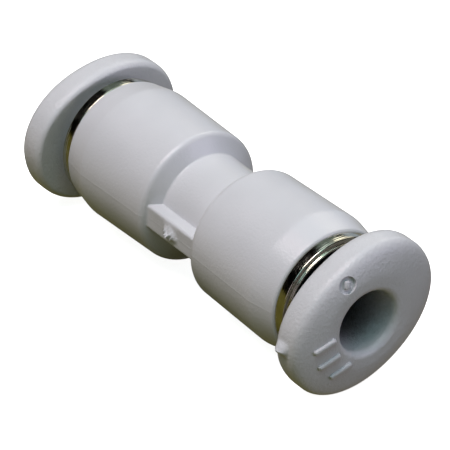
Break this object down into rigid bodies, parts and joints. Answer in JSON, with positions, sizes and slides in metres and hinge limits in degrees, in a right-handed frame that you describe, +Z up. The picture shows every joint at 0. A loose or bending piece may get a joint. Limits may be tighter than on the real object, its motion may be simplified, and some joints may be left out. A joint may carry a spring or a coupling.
{
  "type": "push fit coupling",
  "caption": "Straight push fit coupling for small plastic tube: barrels joined by a webbed neck, with plated guide rings, oval release rings, spring claws and lip seals.",
  "frame": {"origin": "centre of the fitting, on the tube axis, half way between the faces of the release rings", "axes": "+X along the tube axis towards the end_a release ring; the webs beside the neck lie in the XY plane; +Z up"},
  "size_m": [0.024, 0.009, 0.008],
  "materials": {
    "body_plastic": "pale grey moulded PBT, fine satin",
    "ring_plastic": "pale grey moulded acetal, satin",
    "nickel_plate": "bright nickel plating on turned brass",
    "spring_steel": "stamped and tempered stainless spring steel",
    "collet_plastic": "natural moulded acetal",
    "seal_rubber": "black moulded nitrile rubber"
  },
  "bodies": {
    "root": {"coupling_body": "body_plastic", "guide_ring_a": "nickel_plate", "guide_ring_b": "nickel_plate", "lip_seal_a": "seal_rubber", "lip_seal_b": "seal_rubber"},
    "grip_a": {"collet_a": "collet_plastic", "grip_band_a": "spring_steel"},
    "button_a": {"release_ring_a": "ring_plastic"},
    "claw_a1": {"grip_claw_a1": "spring_steel"},
    "claw_a2": {"grip_claw_a2": "spring_steel"},
    "claw_a3": {"grip_claw_a3": "spring_steel"},
    "claw_a4": {"grip_claw_a4": "spring_steel"},
    "claw_a5": {"grip_claw_a5": "spring_steel"},
    "claw_a6": {"grip_claw_a6": "spring_steel"},
    "grip_b": {"collet_b": "collet_plastic", "grip_band_b": "spring_steel"},
    "button_b": {"release_ring_b": "ring_plastic"},
    "claw_b1": {"grip_claw_b1": "spring_steel"},
    "claw_b2": {"grip_claw_b2": "spring_steel"},
    "claw_b3": {"grip_claw_b3": "spring_steel"},
    "claw_b4": {"grip_claw_b4": "spring_steel"},
    "claw_b5": {"grip_claw_b5": "spring_steel"},
    "claw_b6": {"grip_claw_b6": "spring_steel"}
  },
  "joints": [
    {"name": "grip_a_spin", "type": "hinge", "parent": "root", "child": "grip_a", "pos_m": [0.0072, 0, 0], "axis": [1, 0, 0], "continuous": true},
    {"name": "button_a_push", "type": "slide", "parent": "grip_a", "child": "button_a", "axis": [-1, 0, 0], "range_m": [0, 0.00045], "stiffness_N_per_m": 2000, "springref_m": -0.0003},
    {"name": "claw_a1_bend", "type": "hinge", "parent": "grip_a", "child": "claw_a1", "pos_m": [0.0072, 0, 0.0024], "axis": [0, 1, 0], "range_deg": [0, 23.2]},
    {"name": "claw_a2_bend", "type": "hinge", "parent": "grip_a", "child": "claw_a2", "pos_m": [0.0072, -0.00208, 0.0012], "axis": [0, 0.5, 0.866], "range_deg": [0, 23.2]},
    {"name": "claw_a3_bend", "type": "hinge", "parent": "grip_a", "child": "claw_a3", "pos_m": [0.0072, -0.00208, -0.0012], "axis": [0, -0.5, 0.866], "range_deg": [0, 23.2]},
    {"name": "claw_a4_bend", "type": "hinge", "parent": "grip_a", "child": "claw_a4", "pos_m": [0.0072, 0, -0.0024], "axis": [0, -1, 0], "range_deg": [0, 23.2]},
    {"name": "claw_a5_bend", "type": "hinge", "parent": "grip_a", "child": "claw_a5", "pos_m": [0.0072, 0.00208, -0.0012], "axis": [0, -0.5, -0.866], "range_deg": [0, 23.2]},
    {"name": "claw_a6_bend", "type": "hinge", "parent": "grip_a", "child": "claw_a6", "pos_m": [0.0072, 0.00208, 0.0012], "axis": [0, 0.5, -0.866], "range_deg": [0, 23.2]},
    {"name": "grip_b_spin", "type": "hinge", "parent": "root", "child": "grip_b", "pos_m": [-0.0072, 0, 0], "axis": [1, 0, 0], "continuous": true},
    {"name": "button_b_push", "type": "slide", "parent": "grip_b", "child": "button_b", "axis": [1, 0, 0], "range_m": [0, 0.00045], "stiffness_N_per_m": 2000, "springref_m": -0.0003},
    {"name": "claw_b1_bend", "type": "hinge", "parent": "grip_b", "child": "claw_b1", "pos_m": [-0.0072, 0, 0.0024], "axis": [0, -1, 0], "range_deg": [0, 23.2]},
    {"name": "claw_b2_bend", "type": "hinge", "parent": "grip_b", "child": "claw_b2", "pos_m": [-0.0072, 0.00208, 0.0012], "axis": [0, -0.5, 0.866], "range_deg": [0, 23.2]},
    {"name": "claw_b3_bend", "type": "hinge", "parent": "grip_b", "child": "claw_b3", "pos_m": [-0.0072, 0.00208, -0.0012], "axis": [0, 0.5, 0.866], "range_deg": [0, 23.2]},
    {"name": "claw_b4_bend", "type": "hinge", "parent": "grip_b", "child": "claw_b4", "pos_m": [-0.0072, 0, -0.0024], "axis": [0, 1, 0], "range_deg": [0, 23.2]},
    {"name": "claw_b5_bend", "type": "hinge", "parent": "grip_b", "child": "claw_b5", "pos_m": [-0.0072, -0.00208, -0.0012], "axis": [0, 0.5, -0.866], "range_deg": [0, 23.2]},
    {"name": "claw_b6_bend", "type": "hinge", "parent": "grip_b", "child": "claw_b6", "pos_m": [-0.0072, -0.00208, 0.0012], "axis": [0, -0.5, -0.866], "range_deg": [0, 23.2]}
  ],
  "couplings": [
    {"joint": "claw_a1_bend", "follows": "button_a_push", "rad_per_m": 890},
    {"joint": "claw_a2_bend", "follows": "button_a_push", "rad_per_m": 890},
    {"joint": "claw_a3_bend", "follows": "button_a_push", "rad_per_m": 890},
    {"joint": "claw_a4_bend", "follows": "button_a_push", "rad_per_m": 890},
    {"joint": "claw_a5_bend", "follows": "button_a_push", "rad_per_m": 890},
    {"joint": "claw_a6_bend", "follows": "button_a_push", "rad_per_m": 890},
    {"joint": "claw_b1_bend", "follows": "button_b_push", "rad_per_m": 890},
    {"joint": "claw_b2_bend", "follows": "button_b_push", "rad_per_m": 890},
    {"joint": "claw_b3_bend", "follows": "button_b_push", "rad_per_m": 890},
    {"joint": "claw_b4_bend", "follows": "button_b_push", "rad_per_m": 890},
    {"joint": "claw_b5_bend", "follows": "button_b_push", "rad_per_m": 890},
    {"joint": "claw_b6_bend", "follows": "button_b_push", "rad_per_m": 890}
  ]
}
